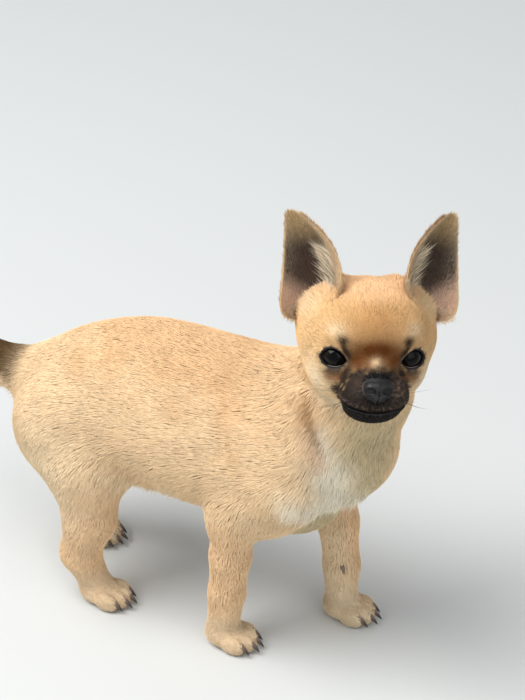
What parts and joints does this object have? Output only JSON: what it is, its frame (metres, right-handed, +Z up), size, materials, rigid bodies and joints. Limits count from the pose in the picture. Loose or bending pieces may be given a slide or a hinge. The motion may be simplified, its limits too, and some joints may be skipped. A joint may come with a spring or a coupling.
{
  "type": "chihuahua puppy",
  "caption": "Smooth-coated chihuahua puppy standing on all paws, head turned to its right, ears upright, tail curving up; a still life-size animal model.",
  "frame": {"origin": "on the floor, below the middle of the whole dog's bounding box", "axes": "+X from tail to chest, +Y to the dog's left, +Z up"},
  "size_m": [0.3228, 0.098, 0.2578],
  "materials": {
    "coat": "short flat fawn fur, darker on the muzzle and tail, white on the chest",
    "ear": "thin skin, fawn velvet fur behind, dark grey-brown inside with pale hairs",
    "nose": "moist pebbled black nose leather",
    "eye": "wet dark brown eye",
    "claw": "smooth dark horn"
  },
  "bodies": {
    "root": {"nose": "nose", "eye_right": "eye", "eye_left": "eye", "head": "coat", "ear_right": "ear", "ear_left": "ear", "torso": "coat", "neck": "coat", "tail": "coat", "foreleg_right": "coat", "forepaw_right": "coat", "thigh_right": "coat", "shank_right": "coat", "hindpaw_right": "coat", "foreleg_left": "coat", "forepaw_left": "coat", "thigh_left": "coat", "shank_left": "coat", "hindpaw_left": "coat", "fore_claw_right_1": "claw", "fore_claw_right_2": "claw", "fore_claw_right_3": "claw", "fore_claw_right_4": "claw", "fore_claw_left_1": "claw", "fore_claw_left_2": "claw", "fore_claw_left_3": "claw", "fore_claw_left_4": "claw", "hind_claw_right_1": "claw", "hind_claw_right_2": "claw", "hind_claw_right_3": "claw", "hind_claw_right_4": "claw", "hind_claw_left_1": "claw", "hind_claw_left_2": "claw", "hind_claw_left_3": "claw", "hind_claw_left_4": "claw", "dewclaw_right": "claw", "dewclaw_left": "claw"}
  },
  "joints": []
}
